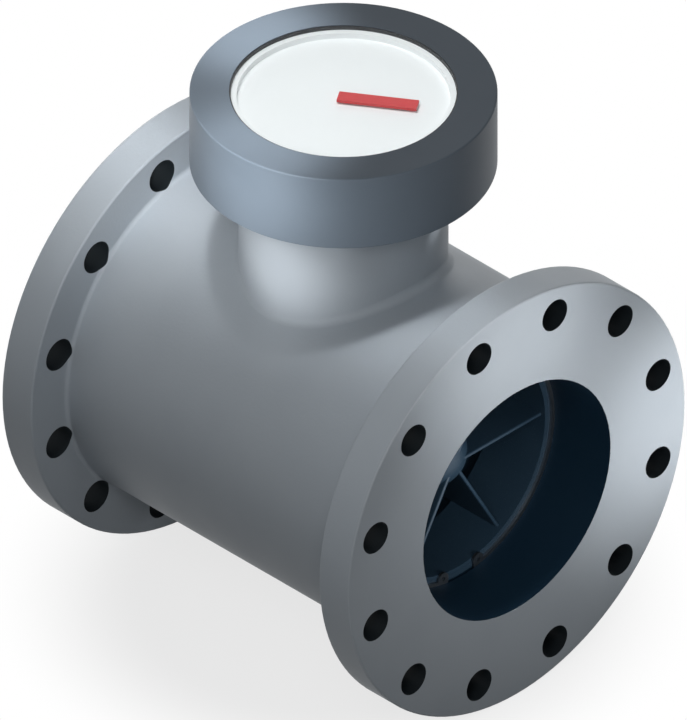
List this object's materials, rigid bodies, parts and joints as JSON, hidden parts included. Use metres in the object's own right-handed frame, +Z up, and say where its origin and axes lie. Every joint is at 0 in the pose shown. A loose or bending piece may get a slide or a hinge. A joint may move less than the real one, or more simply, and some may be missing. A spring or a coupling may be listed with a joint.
{
  "type": "bulk water meter",
  "caption": "Flanged bulk water meter: grey cast pipe body, round neck, dry register head with white dial and red pointer; helical vane rotor, worm drive and magnetic coupling inside.",
  "frame": {"origin": "centre of the inlet flange's face", "axes": "+X along the pipe with the flow, +Z up the neck to the dial; the meter is level"},
  "size_m": [0.35, 0.34, 0.44],
  "materials": {
    "cast_iron_grey": "light grey fusion-bonded epoxy over ductile iron, machined faces coated, dark lined bore",
    "register_grey": "darker blue-grey powder coat over die-cast aluminium",
    "swivel_alloy": "plain machined aluminium",
    "stainless": "turned and ground stainless steel",
    "spring_steel": "stamped stainless spring strip",
    "cover_bronze": "machined gunmetal",
    "worm_brass": "cut brass",
    "bearing_bush": "sintered bronze, oiled",
    "insert_navy": "very dark navy glass-filled polymer, moulded",
    "rotor_navy": "very dark navy polymer, moulded",
    "gear_polymer": "moulded ivory acetal",
    "magnet_ferrite": "ground sintered ferrite",
    "seal_rubber": "moulded black rubber",
    "slide_polymer": "skived white PTFE",
    "register_glass": "clear flat toughened glass",
    "dial_white": "plain white enamel on pressed sheet",
    "pointer_red": "plain signal-red enamel",
    "train_brass": "rolled brass sheet"
  },
  "bodies": {
    "casing": {"body_casting": "cast_iron_grey", "inlet_snap_ring": "spring_steel", "outlet_snap_ring": "spring_steel", "inlet_sleeve_seal": "seal_rubber", "outlet_sleeve_seal": "seal_rubber", "measuring_sleeve": "insert_navy", "flow_straightener": "insert_navy", "front_bearing": "bearing_bush", "rear_support": "insert_navy", "rear_bearing": "bearing_bush", "gear_case_lid": "insert_navy", "spindle_foot_bearing": "bearing_bush", "spindle_tube": "stainless", "transmission_bracket": "cover_bronze", "spindle_top_bearing": "bearing_bush", "bracket_screws": "stainless", "cover_plate": "cover_bronze", "cover_seal": "seal_rubber", "cover_bolts": "stainless", "glide_ring": "slide_polymer"},
    "rotor": {"rotor": "rotor_navy", "rotor_shaft": "stainless", "worm": "worm_brass"},
    "spindle": {"spindle": "stainless", "worm_wheel": "gear_polymer", "spindle_change_gear": "gear_polymer"},
    "driver": {"driver_shaft": "stainless", "driver_change_gear": "gear_polymer", "driver_magnet_carrier": "gear_polymer", "driver_magnet": "magnet_ferrite"},
    "head": {"head_shroud": "register_grey", "head_lock_screw": "stainless", "register_base": "swivel_alloy", "swivel_ring": "swivel_alloy", "swivel_screws": "stainless", "window_glass": "register_glass", "window_seal": "seal_rubber", "dial_pan": "dial_white", "train_plate": "train_brass", "train_pillars": "train_brass", "pillar_rods": "stainless", "centre_cock": "train_brass", "cock_screw": "stainless"},
    "follower": {"follower_magnet": "magnet_ferrite", "follower_pinion": "gear_polymer", "follower_arbor": "stainless"},
    "first_gear": {"first_wheel": "gear_polymer", "first_arbor": "stainless"},
    "second_gear": {"second_wheel": "gear_polymer", "second_arbor": "stainless"},
    "pointer": {"pointer": "pointer_red", "pointer_arbor": "stainless", "pointer_wheel": "gear_polymer"}
  },
  "joints": [
    {"name": "rotor_spin", "type": "hinge", "parent": "casing", "child": "rotor", "pos_m": [0.134, 0, 0], "axis": [1, 0, 0], "continuous": true},
    {"name": "spindle_spin", "type": "hinge", "parent": "casing", "child": "spindle", "pos_m": [0.175, 0.0136, 0], "axis": [0, 0, 1], "continuous": true},
    {"name": "driver_spin", "type": "hinge", "parent": "casing", "child": "driver", "pos_m": [0.175, 0, 0.21], "axis": [0, 0, 1], "continuous": true},
    {"name": "head_turn", "type": "hinge", "parent": "casing", "child": "head", "pos_m": [0.175, 0, 0.236], "axis": [0, 0, 1], "range_deg": [-175, 175]},
    {"name": "follower_spin", "type": "hinge", "parent": "head", "child": "follower", "pos_m": [0.175, 0, 0.24], "axis": [0, 0, 1], "continuous": true},
    {"name": "first_wheel_spin", "type": "hinge", "parent": "head", "child": "first_gear", "pos_m": [0.157, 0.03118, 0.25], "axis": [0, 0, 1], "continuous": true},
    {"name": "second_wheel_spin", "type": "hinge", "parent": "head", "child": "second_gear", "pos_m": [0.193, 0.03118, 0.25], "axis": [0, 0, 1], "continuous": true},
    {"name": "pointer_spin", "type": "hinge", "parent": "head", "child": "pointer", "pos_m": [0.175, 0, 0.26], "axis": [0, 0, 1], "continuous": true}
  ],
  "couplings": [
    {"joint": "spindle_spin", "follows": "rotor_spin", "ratio": -0.083333},
    {"joint": "driver_spin", "follows": "rotor_spin", "ratio": 0.083333},
    {"joint": "follower_spin", "follows": "rotor_spin", "ratio": 0.083333},
    {"joint": "first_wheel_spin", "follows": "rotor_spin", "ratio": -0.016667},
    {"joint": "second_wheel_spin", "follows": "rotor_spin", "ratio": 0.0033333},
    {"joint": "pointer_spin", "follows": "rotor_spin", "ratio": -0.00066667}
  ]
}
